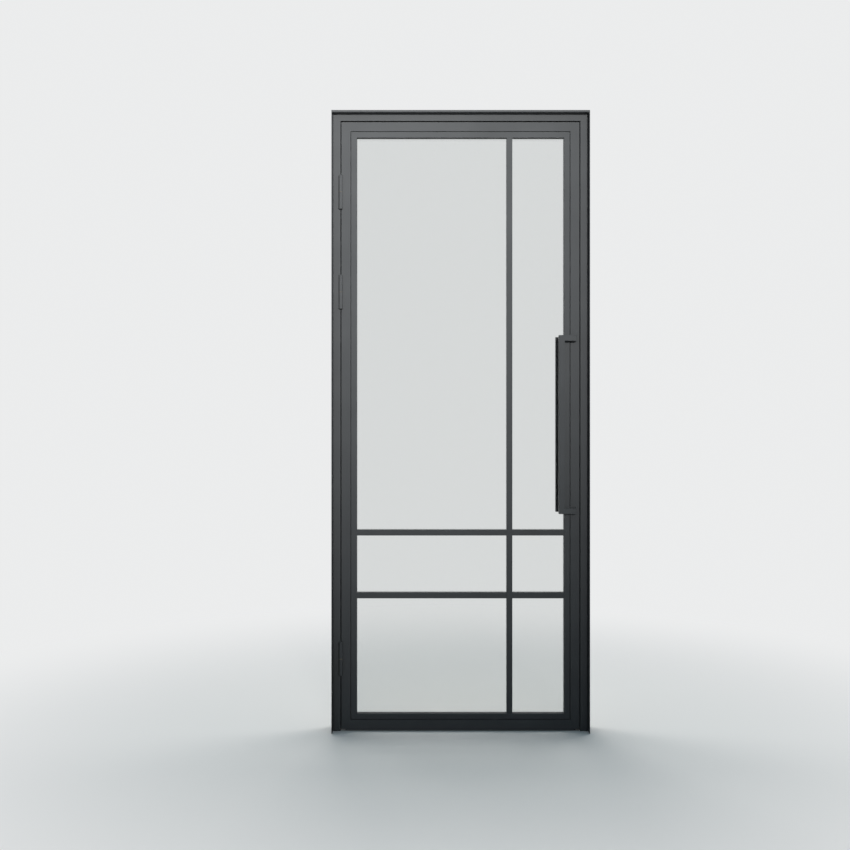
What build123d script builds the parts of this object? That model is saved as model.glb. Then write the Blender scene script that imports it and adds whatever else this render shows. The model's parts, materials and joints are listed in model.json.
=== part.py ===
from build123d import *
import os

# Single glazed swing door with its frame and reveal lining, in millimetres.
# X runs across the opening, Y into the wall and Z up from the finished floor.
# The origin is midway between the jambs, halfway through the leaf and on the floor.
# The leaf hangs on the left and opens towards the viewer, who stands on the -Y side.

# Door leaf
leaf_width = 830
leaf_height = 2115
leaf_depth = 40
leaf_face = 32
leaf_wall = 2.5
leaf_corner_radius = 0.8
flange_reach = 16
floor_gap = 8

# Strip with a rubber lip that closes the gap under the leaf
strip_height = 4.5
strip_depth = 36
strip_end_inset = 14
strip_screw_y = -8
strip_screw_inset = 135
strip_screws = 3
lip_y = 6
lip_neck = 3
lip_head_width = 6
lip_head_height = 1.5
lip_shoulder = 1.5
lip_slack = 0.1
lip_drop = 2.5
lip_edge = 1.2

# Frame around the leaf
side_gap = 3
head_gap = 4
frame_face = 27
frame_depth = 60
frame_wall = 2.5
rebate_width = 2
rebate_depth = 5
frame_corner_radius = 0.8
stop_reach = 10
stop_gap = 3

# Lining of the wall opening
lining_thickness = 2
lining_recess = 30
soffit_drop = 5

# Rubber seal on the stop
seal_groove_width = 4
seal_groove_depth = 3
seal_slack = 0.1
seal_bulb_radius = 2.6
seal_bore_radius = 1.4

# Glazing
glass_thickness = 8
glass_edge_gap = 3
glass_arris = 0.5
tape_thickness = 1
tape_width = 10
block_length = 100
block_inset = 150

# Front beads and glazing bars
bar_width = 20
bar_depth = 19
bar_wall = 1.5
bar_corner_radius = 0.8
rear_bar_width = 15
groove_width = 2
groove_depth = 8
narrow_field_width = 180
lower_field_height = 401
middle_field_height = 199

# Clips that the beads snap on to
clip_mouth = 4
clip_lip = 1.5
clip_slack = 0.1
clip_barb = 1.3
clip_barb_height = 0.4
clip_tip_width = 2.4
clip_head_height = 1.8
clip_shank_depth = 2.8
clip_length = 24
clip_end_inset = 90
upright_clips = 7
level_clips = 3

# Lift-off hinges
hinge_length = 118
hinge_radius = 7
hinge_proud = 6
hinge_chamfer = 1
notch_clearance = 1.7
pin_radius = 4
pin_slack = 0.02
pin_running_clearance = 0.06
pin_engagement = 28
pin_seat = 45
pin_chamfer = 1
washer_thickness = 1
wing_thickness = 2
wing_gap = 1
wing_depth = 38
wing_slack = 0.2
top_hinge_inset = 245
upper_hinge_spacing = 348
bottom_hinge_inset = 246

# Countersunk screws, and the plates behind those of the hinges
screw_radius = 2
screw_head_radius = 3.8
screw_length = 10
screw_clearance = 0.1
screw_pitch = 42
plate_thickness = 4
plate_width = 24

# Corner cleats inside the hollow profiles
cleat_slack = 0.1
cleat_arm = 70
cleat_wall = 4

# Pull handles
handle_section = 20
handle_corner_radius = 1
handle_wall = 2
handle_plug = 22
handle_length = 618
handle_height = 1069
handle_projection = 35
handle_offset = 43.2
handle_backset = 22.4
handle_bolt_radius = 4
handle_bolt_depth = 16
sleeve_radius = 6.5
bolt_clearance = 0.2

# Magnetic catch on the closing edge
catch_drop = 323
catch_radius = 9
catch_flange_radius = 11
catch_flange = 0.8
catch_slack = 0.1
magnet_depth = 12
keeper_depth = 6

# Fixings through the jambs into the wall
fixing_radius = 3.25
outer_fixing_inset = 177
inner_fixing_spacing = 600

# Places worked out from the sizes above
leaf_left = -leaf_width / 2
leaf_right = leaf_width / 2
leaf_bottom = floor_gap
leaf_top = floor_gap + leaf_height
front_y = -leaf_depth / 2
rear_y = leaf_depth / 2

tube_half = leaf_width / 2 - leaf_face
tube_low = leaf_bottom + leaf_face
tube_high = leaf_top - leaf_face

jamb_half = leaf_width / 2 + side_gap
head_z = leaf_top + head_gap
catch_height = leaf_top - catch_drop
frame_outer = jamb_half + frame_face
frame_top = head_z + frame_face
frame_back = front_y + frame_depth
soffit_z = frame_top - soffit_drop
stop_front = rear_y + stop_gap
lining_front = front_y - lining_recess

glass_front = front_y + bar_depth + tape_thickness
glass_rear = glass_front + glass_thickness
flange_front = glass_rear + tape_thickness
rear_bar_depth = rear_y - flange_front
glass_half = tube_half - glass_edge_gap

mouth_middle = (groove_depth + bar_depth) / 2
sight_inset = groove_width + bar_width
sight_half = tube_half - sight_inset
sight_low = tube_low + sight_inset
mullion_x = sight_half - narrow_field_width - bar_width / 2
lower_transom_z = sight_low + lower_field_height + bar_width / 2
upper_transom_z = lower_transom_z + bar_width + middle_field_height
transom_heights = {"lower": lower_transom_z, "upper": upper_transom_z}

hinge_x = leaf_left - side_gap / 2
hinge_y = front_y - hinge_proud
hinge_heights = {
    "top": leaf_top - top_hinge_inset,
    "middle": leaf_top - top_hinge_inset - upper_hinge_spacing,
    "bottom": leaf_bottom + bottom_hinge_inset,
}
wing_end = hinge_y + wing_depth
wing_recess = wing_thickness - (side_gap - wing_gap) / 2
screw_y = (front_y + wing_end) / 2 + notch_clearance
screw_drops = (-screw_pitch, 0, screw_pitch)

fixing_z = frame_top / 2
outer_fixing_spacing = frame_top - 2 * outer_fixing_inset
fixing_y = (stop_front + seal_groove_depth + frame_back) / 2
fixing_heights = [
    fixing_z + side * spacing / 2
    for spacing in (outer_fixing_spacing, inner_fixing_spacing)
    for side in (-1, 1)
]

strip_low = leaf_bottom - strip_height
strip_half = leaf_width / 2 - strip_end_inset
strip_screw_spacing = 2 * (leaf_width / 2 - strip_screw_inset) / (strip_screws - 1)

handle_x = leaf_right - handle_backset
handle_reach = handle_length - handle_section
bolt_heights = (handle_height - handle_reach / 2, handle_height + handle_reach / 2)

outward = {
    "left": Vector(-1, 0, 0),
    "right": Vector(1, 0, 0),
    "top": Vector(0, 0, 1),
    "bottom": Vector(0, 0, -1),
}
# Each side of a ring runs from its first corner to its second one, and its section's
# local x points out of the ring while its local y points into the wall.
run_from = {"left": "top", "right": "bottom", "top": "right", "bottom": "left"}
run_to = {"left": "bottom", "right": "top", "top": "left", "bottom": "right"}
leaf_ring = (tube_half, tube_low, tube_high)
frame_ring = (jamb_half, 0, head_z)


def corner(ring, side, other):
    """The ring's corner between two of its sides."""
    half, low, high = ring
    names = {side, other}
    x = half if "right" in names else -half
    z = high if "top" in names else low
    return Vector(x, 0, z)


def side_plane(ring, side, over):
    """The plane at the start of a side, pushed past the corner by an extra length."""
    start = corner(ring, side, run_from[side]) + outward[run_from[side]] * over
    return Plane(origin=start, x_dir=outward[side], z_dir=outward[run_to[side]])


def side_length(ring, side):
    """The length of a side between the ring's corners."""
    return (corner(ring, side, run_to[side]) - corner(ring, side, run_from[side])).length


def mitre(ring, side, other):
    """Cut the bar in hand at the 45 degree plane that it shares with its neighbour."""
    cut = Plane(origin=corner(ring, side, other), z_dir=outward[side] - outward[other])
    split(bisect_by=cut, keep=Keep.TOP)


def frame_section(plane):
    """Hollow frame profile: seen face, corner rebate, stop behind the leaf, seal groove."""
    inner, outer = frame_wall, frame_face - frame_wall
    step = frame_face - rebate_width
    leg_front = stop_front + seal_groove_depth + frame_wall
    with BuildSketch(plane) as section:
        with BuildLine():
            Polyline(
                (0, front_y),
                (step, front_y),
                (step, front_y + rebate_depth),
                (frame_face, front_y + rebate_depth),
                (frame_face, frame_back),
                (-stop_reach, frame_back),
                (-stop_reach, stop_front),
                (0, stop_front),
                close=True,
            )
        make_face()
        fillet(section.vertices().group_by(Axis.Y)[0], frame_corner_radius)
        with BuildLine():
            Polyline(
                (inner, front_y + frame_wall),
                (step - frame_wall, front_y + frame_wall),
                (step - frame_wall, front_y + rebate_depth + frame_wall),
                (outer, front_y + rebate_depth + frame_wall),
                (outer, frame_back - frame_wall),
                (frame_wall - stop_reach, frame_back - frame_wall),
                (frame_wall - stop_reach, leg_front),
                (inner, leg_front),
                close=True,
            )
        make_face(mode=Mode.SUBTRACT)
        with Locations((-stop_reach / 2, stop_front + seal_groove_depth / 2)):
            Rectangle(seal_groove_width, seal_groove_depth, mode=Mode.SUBTRACT)
    return section.sketch


def leaf_section(plane):
    """Hollow leaf profile: square tube with a flange behind the glass."""
    leg_middle = (flange_front + rear_y) / 2
    leg_depth = rear_y - flange_front
    with BuildSketch(plane) as section:
        with Locations((leaf_face / 2, 0)):
            RectangleRounded(leaf_face, leaf_depth, leaf_corner_radius)
        with Locations(((leaf_face / 2 - flange_reach) / 2, leg_middle)):
            Rectangle(flange_reach + leaf_face / 2, leg_depth)
        with Locations((leaf_face / 2, 0)):
            Rectangle(leaf_face - 2 * leaf_wall, leaf_depth - 2 * leaf_wall, mode=Mode.SUBTRACT)
        with Locations(((leaf_face / 2 - flange_reach + leaf_wall) / 2, leg_middle)):
            Rectangle(
                flange_reach + leaf_face / 2 - leaf_wall,
                leg_depth - 2 * leaf_wall,
                mode=Mode.SUBTRACT,
            )
    return section.sketch


def bead_section(plane):
    """Roll-formed snap-on bead: seen face, shadow groove beside the tube, clip mouth behind."""
    wall = bar_wall
    upper_lip, lower_lip = mouth_middle - clip_mouth / 2, mouth_middle + clip_mouth / 2
    with BuildSketch(plane) as section:
        with BuildLine():
            Polyline(
                (-groove_width, front_y),
                (-sight_inset, front_y),
                (-sight_inset, front_y + bar_depth),
                (0, front_y + bar_depth),
                (0, front_y + lower_lip),
                (-clip_lip, front_y + lower_lip),
                (-clip_lip, front_y + bar_depth - wall),
                (wall - sight_inset, front_y + bar_depth - wall),
                (wall - sight_inset, front_y + wall),
                (-groove_width - wall, front_y + wall),
                (-groove_width - wall, front_y + groove_depth + wall),
                (-clip_lip, front_y + groove_depth + wall),
                (-clip_lip, front_y + upper_lip),
                (0, front_y + upper_lip),
                (0, front_y + groove_depth),
                (-groove_width, front_y + groove_depth),
                close=True,
            )
        make_face()
        fillet(section.vertices().group_by(Axis.Y)[0], bar_corner_radius)
    return section.sketch


def seal_section(plane):
    """Tubular bulb seal with a root that is pushed into the stop's groove."""
    root_width = seal_groove_width - 2 * seal_slack
    root_depth = seal_groove_depth - seal_slack
    with BuildSketch(plane) as section:
        with BuildLine():
            CenterArc((-stop_reach / 2, stop_front), seal_bulb_radius, 180, 180)
            Line(
                (-stop_reach / 2 - seal_bulb_radius, stop_front),
                (-stop_reach / 2 + seal_bulb_radius, stop_front),
            )
        make_face()
        with Locations((-stop_reach / 2, stop_front + root_depth / 2)):
            Rectangle(root_width, root_depth)
        with Locations((-stop_reach / 2, stop_front)):
            Circle(seal_bore_radius, mode=Mode.SUBTRACT)
    return section.sketch


def finish(builder, name):
    """Name a finished piece and write it."""
    builder.part.label = name
    export_step(builder.part, f"parts/{name}.step")


def wing_side(body):
    """The local x of a hinge wing: it points away from the gap, into its own profile."""
    return Vector(-1, 0, 0) if body == "frame" else Vector(1, 0, 0)


def wing_inner_x(body):
    """The wing's face on the gap's middle line side."""
    return hinge_x + wing_side(body).X * wing_gap / 2


def screw_plane(body, height):
    """The plane of a countersunk screw's head: its normal points out of the profile."""
    normal = wing_side(body) * -1
    return Plane(origin=(wing_inner_x(body), screw_y, height), x_dir=(0, 1, 0), z_dir=normal)


def screw_planes(body, hinges):
    """The planes of all screws of one body in the named hinges."""
    return [
        screw_plane(body, hinge_heights[hinge] + drop) for hinge in hinges for drop in screw_drops
    ]


def strip_screw_planes():
    """The planes of the screw heads under the leaf, with their normals pointing down."""
    middle = (strip_screws - 1) / 2
    return [
        Plane(
            origin=((step - middle) * strip_screw_spacing, strip_screw_y, strip_low),
            x_dir=(1, 0, 0),
            z_dir=(0, 0, -1),
        )
        for step in range(strip_screws)
    ]


def turn_screw(head_plane):
    """A countersunk screw whose head lies in a plane, and whose shank points against it."""
    head_depth = screw_head_radius - screw_radius
    half_section = Plane(
        origin=head_plane.origin, x_dir=head_plane.x_dir, z_dir=head_plane.y_dir
    )
    outward_sign = 1 if half_section.y_dir.dot(head_plane.z_dir) > 0 else -1
    with BuildSketch(half_section) as turned:
        with BuildLine():
            Polyline(
                (0, 0),
                (screw_head_radius, 0),
                (screw_radius, -outward_sign * head_depth),
                (screw_radius, -outward_sign * screw_length),
                (0, -outward_sign * screw_length),
                close=True,
            )
        make_face()
    revolve(turned.sketch, axis=Axis(head_plane.origin, head_plane.z_dir))


def cut_for_hinges(body):
    """Recess a profile's edge for the wings, drill it for their screws, clear the barrels."""
    side = wing_side(body).X
    edge = hinge_x + side * side_gap / 2
    recess_depth = wing_end + wing_slack - front_y
    for height in hinge_heights.values():
        with BuildSketch(Plane(origin=(edge, 0, height), x_dir=(0, 1, 0), z_dir=(side, 0, 0))) as wing:
            with Locations((front_y + recess_depth / 2, 0)):
                Rectangle(recess_depth, hinge_length + 2 * wing_slack)
        extrude(wing.sketch, amount=wing_recess, mode=Mode.SUBTRACT)
        with Locations(Plane(origin=(hinge_x, hinge_y, height))):
            Cylinder(
                hinge_radius + notch_clearance,
                hinge_length + 2 * notch_clearance,
                mode=Mode.SUBTRACT,
            )
    with Locations(*screw_planes(body, hinge_heights)):
        Hole(screw_radius + screw_clearance, depth=2 * screw_length)


def clip_planes(ring, side):
    """The middle sections of the clips along one side, on the tube's wall behind the bead.

    Each plane's local x points into the wall, and its local y points to the glass.
    """
    count = upright_clips if side in ("left", "right") else level_clips
    start = corner(ring, side, run_from[side]) + Vector(0, front_y + mouth_middle, 0)
    along = outward[run_to[side]]
    pitch = (side_length(ring, side) - 2 * clip_end_inset) / (count - 1)
    return [
        Plane(
            origin=start + along * (clip_end_inset + pitch * step),
            x_dir=(0, 1, 0),
            z_dir=along,
        )
        for step in range(count)
    ]


def slot_for_clips(ring, side):
    """Slots for the shanks of the bead clips through the inner wall of a leaf profile."""
    for middle in clip_planes(ring, side):
        with BuildSketch(middle) as slot:
            with Locations((0, -leaf_wall / 2)):
                Rectangle(clip_mouth, 2 * leaf_wall)
        extrude(slot.sketch, amount=clip_length / 2 + clip_slack, both=True, mode=Mode.SUBTRACT)


os.makedirs("parts", exist_ok=True)

# The two jambs stand on the floor and meet the head in mitres.
for name, side in (("hinge_jamb", "left"), ("lock_jamb", "right")):
    with BuildPart() as jamb:
        if side == "left":
            extrude(
                frame_section(side_plane(frame_ring, side, frame_face)),
                amount=side_length(frame_ring, side) + frame_face,
            )
            cut_for_hinges("frame")
        else:
            extrude(
                frame_section(side_plane(frame_ring, side, 0)),
                amount=side_length(frame_ring, side) + frame_face,
            )
            catch_plane = Plane(
                origin=(jamb_half, 0, catch_height), x_dir=(0, 1, 0), z_dir=(-1, 0, 0)
            )
            with Locations(catch_plane):
                Hole(catch_radius + catch_slack, depth=frame_face / 2)
        mitre(frame_ring, side, "top")
        with Locations(
            *[
                Plane(
                    origin=outward[side] * frame_outer + Vector(0, fixing_y, height),
                    x_dir=(0, 1, 0),
                    z_dir=outward[side],
                )
                for height in fixing_heights
            ]
        ):
            Hole(fixing_radius, depth=frame_face + stop_reach)
    finish(jamb, name)

with BuildPart() as frame_head:
    extrude(
        frame_section(side_plane(frame_ring, "top", frame_face)),
        amount=side_length(frame_ring, "top") + 2 * frame_face,
    )
    mitre(frame_ring, "top", "left")
    mitre(frame_ring, "top", "right")
finish(frame_head, "frame_head")

# The reveal lining: two upright sheets under a head sheet, whose front edge is folded down
# and back to the frame as a narrow soffit.
for name, side in (("lining_left", "left"), ("lining_right", "right")):
    with BuildPart() as lining:
        with BuildSketch(Plane.YZ.offset(outward[side].X * frame_outer)):
            with BuildLine():
                Polyline(
                    (lining_front, 0),
                    (frame_back, 0),
                    (frame_back, frame_top),
                    (front_y, frame_top),
                    (front_y, soffit_z),
                    (lining_front, soffit_z),
                    close=True,
                )
            make_face()
        extrude(amount=outward[side].X * lining_thickness)
        with Locations(
            *[
                Plane(
                    origin=outward[side] * (frame_outer + lining_thickness)
                    + Vector(0, fixing_y, height),
                    x_dir=(0, 1, 0),
                    z_dir=outward[side],
                )
                for height in fixing_heights
            ]
        ):
            Hole(fixing_radius, depth=lining_thickness)
    finish(lining, name)

with BuildPart() as lining_head:
    with BuildSketch(Plane.YZ.offset(-frame_outer - lining_thickness)):
        with BuildLine():
            Polyline(
                (lining_front, soffit_z),
                (front_y, soffit_z),
                (front_y, soffit_z + lining_thickness),
                (lining_front + lining_thickness, soffit_z + lining_thickness),
                (lining_front + lining_thickness, frame_top),
                (frame_back, frame_top),
                (frame_back, frame_top + lining_thickness),
                (lining_front, frame_top + lining_thickness),
                close=True,
            )
        make_face()
    extrude(amount=2 * (frame_outer + lining_thickness))
finish(lining_head, "lining_head")

# The seal runs up both stops and along the head, mitred like the frame.
for name, side in (("seal_left", "left"), ("seal_right", "right"), ("seal_head", "top")):
    with BuildPart() as seal:
        extrude(
            seal_section(side_plane(frame_ring, side, 0)), amount=side_length(frame_ring, side)
        )
        if side == "top":
            mitre(frame_ring, side, "left")
            mitre(frame_ring, side, "right")
        else:
            mitre(frame_ring, side, "top")
    finish(seal, name)


def corner_cleat(ring, across, upward, inner, outer):
    """L-shaped cleat profile in the corner of a ring, with the same wall all round."""
    half, low, high = ring
    origin = (across * half, 0, high if upward > 0 else low)
    plane = Plane(origin=origin, x_dir=(across, 0, 0), z_dir=(0, -across * upward, 0))
    with BuildSketch(plane) as cleat:
        for inset, mode in ((0, Mode.ADD), (cleat_wall, Mode.SUBTRACT)):
            near, far, end = inner + inset, outer - inset, inset - cleat_arm
            with BuildLine():
                Polyline(
                    (near, end), (far, end), (far, far), (end, far), (end, near), (near, near),
                    close=True,
                )
            make_face(mode=mode)
    return cleat.sketch


frame_chamber_front = front_y + frame_wall + cleat_slack
frame_chamber_back = frame_back - frame_wall - cleat_slack
with BuildPart() as frame_cleats:
    for across in (-1, 1):
        profile = corner_cleat(
            frame_ring,
            across,
            1,
            frame_wall + cleat_slack,
            frame_face - rebate_width - frame_wall - cleat_slack,
        )
        middle = Location((0, (frame_chamber_front + frame_chamber_back) / 2, 0))
        extrude(
            profile.moved(middle),
            amount=(frame_chamber_back - frame_chamber_front) / 2,
            both=True,
        )
finish(frame_cleats, "frame_cleats")

with BuildPart() as leaf_cleats:
    for across in (-1, 1):
        for upward in (-1, 1):
            profile = corner_cleat(
                leaf_ring,
                across,
                upward,
                leaf_wall + cleat_slack,
                leaf_face - leaf_wall - cleat_slack,
            )
            extrude(profile, amount=leaf_depth / 2 - leaf_wall - cleat_slack, both=True)
finish(leaf_cleats, "leaf_cleats")

# The leaf: two stiles and two rails, mitred.
for name, side in (
    ("hinge_stile", "left"),
    ("lock_stile", "right"),
    ("top_rail", "top"),
    ("bottom_rail", "bottom"),
):
    with BuildPart() as profile_bar:
        extrude(
            leaf_section(side_plane(leaf_ring, side, leaf_face)),
            amount=side_length(leaf_ring, side) + 2 * leaf_face,
        )
        mitre(leaf_ring, side, run_from[side])
        mitre(leaf_ring, side, run_to[side])
        slot_for_clips(leaf_ring, side)
        if name == "hinge_stile":
            cut_for_hinges("leaf")
        if name == "lock_stile":
            with Locations(
                *[
                    Plane(origin=(handle_x, front_y, height), x_dir=(1, 0, 0), z_dir=(0, -1, 0))
                    for height in bolt_heights
                ]
            ):
                Hole(handle_bolt_radius + bolt_clearance, depth=leaf_depth)
            keeper_plane = Plane(
                origin=(leaf_right, 0, catch_height), x_dir=(0, 1, 0), z_dir=(1, 0, 0)
            )
            with Locations(keeper_plane):
                Hole(catch_radius + catch_slack, depth=leaf_face / 2)
        if name == "bottom_rail":
            with Locations(*strip_screw_planes()):
                Hole(screw_radius + screw_clearance / 2, depth=screw_length)
    finish(profile_bar, name)

# The strip under the leaf stops short of its corners, and a rubber lip hangs in its slot.
with BuildPart() as floor_strip:
    with BuildSketch(Plane.YZ) as section:
        with Locations((0, strip_low + strip_height / 2)):
            Rectangle(strip_depth, strip_height)
        fillet(section.vertices().group_by(Axis.Y)[0], leaf_corner_radius)
        with Locations((lip_y, strip_low + lip_shoulder / 2)):
            Rectangle(lip_neck, lip_shoulder, mode=Mode.SUBTRACT)
        slot_head = lip_head_height + lip_slack
        with Locations((lip_y, strip_low + lip_shoulder + slot_head / 2)):
            Rectangle(lip_head_width, slot_head, mode=Mode.SUBTRACT)
    extrude(section.sketch, amount=strip_half, both=True)
    with Locations(*strip_screw_planes()):
        CounterSinkHole(
            screw_radius + screw_clearance,
            screw_head_radius + screw_clearance,
            depth=strip_height,
            counter_sink_angle=90,
        )
finish(floor_strip, "floor_strip")

lip_seat = Plane(origin=(0, lip_y, strip_low + lip_shoulder), x_dir=(0, 1, 0), z_dir=(1, 0, 0))
with BuildPart() as floor_lip:
    with BuildSketch(lip_seat) as section:
        with BuildLine():
            half = Polyline(
                (0, lip_head_height),
                (lip_head_width / 2 - lip_slack, lip_head_height),
                (lip_head_width / 2 - lip_slack, 0),
                (lip_neck / 2 - lip_slack, 0),
                (lip_neck / 2 - lip_slack, -lip_shoulder),
                (lip_edge / 2, -lip_shoulder - lip_drop),
                (0, -lip_shoulder - lip_drop),
            )
            mirror(half, about=Plane.YZ)
        make_face()
    extrude(section.sketch, amount=strip_half, both=True)
finish(floor_lip, "floor_lip")

with BuildPart() as floor_strip_screws:
    for head_plane in strip_screw_planes():
        turn_screw(head_plane)
finish(floor_strip_screws, "floor_strip_screws")

# The pane of glass, with a fine arris on its edges, and the blocks that it stands on.
with BuildPart() as glass_pane:
    with BuildSketch(Plane.XZ.offset(-glass_front)):
        with Locations((0, (tube_low + tube_high) / 2)):
            Rectangle(2 * glass_half, tube_high - tube_low - 2 * glass_edge_gap)
    extrude(amount=-glass_thickness)
    chamfer(glass_pane.edges(), glass_arris)
finish(glass_pane, "glass_pane")

with BuildPart() as glazing_blocks:
    for side in outward:
        block_run = side_length(leaf_ring, side) - 2 * block_inset
        for step in (-1, 1):
            ends = [corner(leaf_ring, side, other) for other in (run_from[side], run_to[side])]
            block_plane = Plane(
                origin=(ends[0] + ends[1]) / 2 + outward[run_to[side]] * (step * block_run / 2),
                x_dir=outward[run_to[side]],
                z_dir=outward[side] * -1,
            )
            with BuildSketch(block_plane) as block:
                depth_sign = 1 if block_plane.y_dir.Y > 0 else -1
                with Locations((0, depth_sign * (glass_front + glass_thickness / 2))):
                    Rectangle(block_length, glass_thickness)
            extrude(block.sketch, amount=glass_edge_gap)
finish(glazing_blocks, "glazing_blocks")

# The snap-on beads hold the glass from the front, and barbed clips hold the beads.
for side in outward:
    with BuildPart() as bead:
        extrude(
            bead_section(side_plane(leaf_ring, side, 0)), amount=side_length(leaf_ring, side)
        )
        mitre(leaf_ring, side, run_from[side])
        mitre(leaf_ring, side, run_to[side])
    finish(bead, f"bead_{side}")

shank = clip_mouth / 2 - clip_slack
neck = clip_lip + clip_slack
with BuildPart() as bead_clips:
    for side in outward:
        for middle in clip_planes(leaf_ring, side):
            with BuildSketch(middle) as barbed:
                with BuildLine():
                    half = Polyline(
                        (0, -clip_shank_depth),
                        (shank, -clip_shank_depth),
                        (shank, neck),
                        (shank + clip_barb, neck),
                        (shank + clip_barb, neck + clip_barb_height),
                        (clip_tip_width / 2, neck + clip_head_height),
                        (0, neck + clip_head_height),
                    )
                    mirror(half, about=Plane.YZ)
                make_face()
            extrude(barbed.sketch, amount=clip_length / 2, both=True)
finish(bead_clips, "bead_clips")


def bar(name, plane, width, depth, length):
    """A hollow glazing bar, open at the ends, whose section is centred on a plane."""
    with BuildPart() as glazing_bar:
        with BuildSketch(plane) as section:
            RectangleRounded(width, depth, bar_corner_radius)
            Rectangle(width - 2 * bar_wall, depth - 2 * bar_wall, mode=Mode.SUBTRACT)
        extrude(section.sketch, amount=length)
    finish(glazing_bar, name)


# Bars on both faces of the glass: one mullion from rail to rail, transoms between.
for face, width, depth, inset, bar_y in (
    ("front", bar_width, bar_depth, sight_inset, front_y + bar_depth / 2),
    ("rear", rear_bar_width, rear_bar_depth, flange_reach, flange_front + rear_bar_depth / 2),
):
    bar(
        f"{face}_mullion",
        Plane(origin=(mullion_x, bar_y, tube_low + inset), x_dir=(1, 0, 0), z_dir=(0, 0, 1)),
        width,
        depth,
        tube_high - tube_low - 2 * inset,
    )
    fields = {
        "left": (inset - tube_half, mullion_x - width / 2),
        "right": (mullion_x + width / 2, tube_half - inset),
    }
    for level, height in transom_heights.items():
        for field, (start, end) in fields.items():
            bar(
                f"{face}_transom_{level}_{field}",
                Plane(origin=(start, bar_y, height), x_dir=(0, 0, -1), z_dir=(1, 0, 0)),
                width,
                depth,
                end - start,
            )


def tape_strips(reach, tape_y):
    """Flat strips of glazing tape along the sight line and behind the bars."""
    low, high, half = tube_low + reach, tube_high - reach, tube_half - reach
    inner_low, inner_high, inner_half = low - tape_width, high + tape_width, half + tape_width
    with BuildSketch(Plane.XZ.offset(-tape_y)) as strips:
        with Locations((0, (low + high) / 2)):
            Rectangle(2 * inner_half, inner_high - inner_low)
            Rectangle(2 * half, high - low, mode=Mode.SUBTRACT)
        with Locations((mullion_x, (low + high) / 2)):
            Rectangle(tape_width, high - low)
        for height in transom_heights.values():
            with Locations((0, height)):
                Rectangle(2 * half, tape_width)
    return strips.sketch


for name, reach, tape_y in (
    ("front_tape", sight_inset, glass_front - tape_thickness),
    ("rear_tape", flange_reach, glass_rear),
):
    with BuildPart() as tape:
        extrude(tape_strips(reach, tape_y), amount=-tape_thickness)
    finish(tape, name)

# Three lift-off hinges. Each has a lower knuckle with its wing in the jamb, a fixed pin,
# a washer, and an upper knuckle with its wing in the stile.
knuckle_length = (hinge_length - washer_thickness) / 2
for hinge, height in hinge_heights.items():
    for body in ("frame", "leaf"):
        upward = -1 if body == "frame" else 1
        inner_x = wing_inner_x(body)
        outer_x = inner_x + wing_side(body).X * wing_thickness
        own_end = height + upward * washer_thickness / 2
        bore_radius = pin_radius + (pin_slack if body == "frame" else pin_running_clearance)
        bore_depth = (pin_seat if body == "frame" else pin_engagement) + washer_thickness
        with BuildPart() as knuckle:
            with BuildSketch(Plane.XY.offset(height - hinge_length / 2)):
                with Locations(((inner_x + outer_x) / 2, (hinge_y + wing_end) / 2)):
                    Rectangle(wing_thickness, wing_depth)
            extrude(amount=hinge_length)
            other_start = own_end if body == "frame" else own_end - knuckle_length - washer_thickness
            with BuildSketch(Plane.XY.offset(other_start)):
                with Locations((hinge_x, hinge_y)):
                    Circle(hinge_radius + notch_clearance)
            extrude(amount=knuckle_length + washer_thickness, mode=Mode.SUBTRACT)
            barrel_plane = Plane(
                origin=(hinge_x, hinge_y, own_end), x_dir=(1, 0, 0), z_dir=(0, 0, upward)
            )
            with BuildSketch(barrel_plane):
                Circle(hinge_radius)
            extrude(amount=knuckle_length)
            barrel_ends = knuckle.faces().filter_by(Axis.Z).sort_by(Axis.Z)
            outer_face = barrel_ends[0] if body == "frame" else barrel_ends[-1]
            chamfer(outer_face.edges().filter_by(GeomType.CIRCLE), hinge_chamfer)
            with BuildSketch(barrel_plane):
                Circle(bore_radius)
            extrude(amount=bore_depth, mode=Mode.SUBTRACT)
            with Locations(*screw_planes(body, [hinge])):
                CounterSinkHole(
                    screw_radius + screw_clearance,
                    screw_head_radius + screw_clearance,
                    depth=2 * wing_thickness,
                    counter_sink_angle=90,
                )
        finish(knuckle, f"hinge_{body}_half_{hinge}")

with BuildPart() as hinge_pins:
    for height in hinge_heights.values():
        with BuildSketch(Plane.XY.offset(height - washer_thickness / 2 - pin_seat)) as pin:
            with Locations((hinge_x, hinge_y)):
                Circle(pin_radius)
        extrude(pin.sketch, amount=pin_seat + washer_thickness + pin_engagement)
    chamfer(hinge_pins.edges(), pin_chamfer)
finish(hinge_pins, "hinge_pins")

with BuildPart() as hinge_washers:
    for height in hinge_heights.values():
        with BuildSketch(Plane.XY.offset(height - washer_thickness / 2)) as ring:
            with Locations((hinge_x, hinge_y)):
                Circle(hinge_radius)
                Circle(pin_radius + pin_running_clearance, mode=Mode.SUBTRACT)
        extrude(ring.sketch, amount=washer_thickness)
finish(hinge_washers, "hinge_washers")

# Countersunk hinge screws, and the threaded plates that they pull against.
for body, wall in (("frame", frame_wall), ("leaf", leaf_wall)):
    with BuildPart() as screws:
        for head_plane in screw_planes(body, hinge_heights):
            turn_screw(head_plane)
    finish(screws, f"{body}_hinge_screws")

    with BuildPart() as backing_plates:
        side = wing_side(body).X
        wall_face = hinge_x + side * (side_gap / 2 + wall)
        for height in hinge_heights.values():
            plate_plane = Plane(
                origin=(wall_face, screw_y, height), x_dir=(0, 1, 0), z_dir=(side, 0, 0)
            )
            with BuildSketch(plate_plane) as backing:
                Rectangle(plate_width, hinge_length)
            extrude(backing.sketch, amount=plate_thickness)
        with Locations(*screw_planes(body, hinge_heights)):
            Hole(screw_radius + screw_clearance / 2, depth=2 * screw_length)
    finish(backing_plates, f"{body}_backing_plates")


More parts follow.
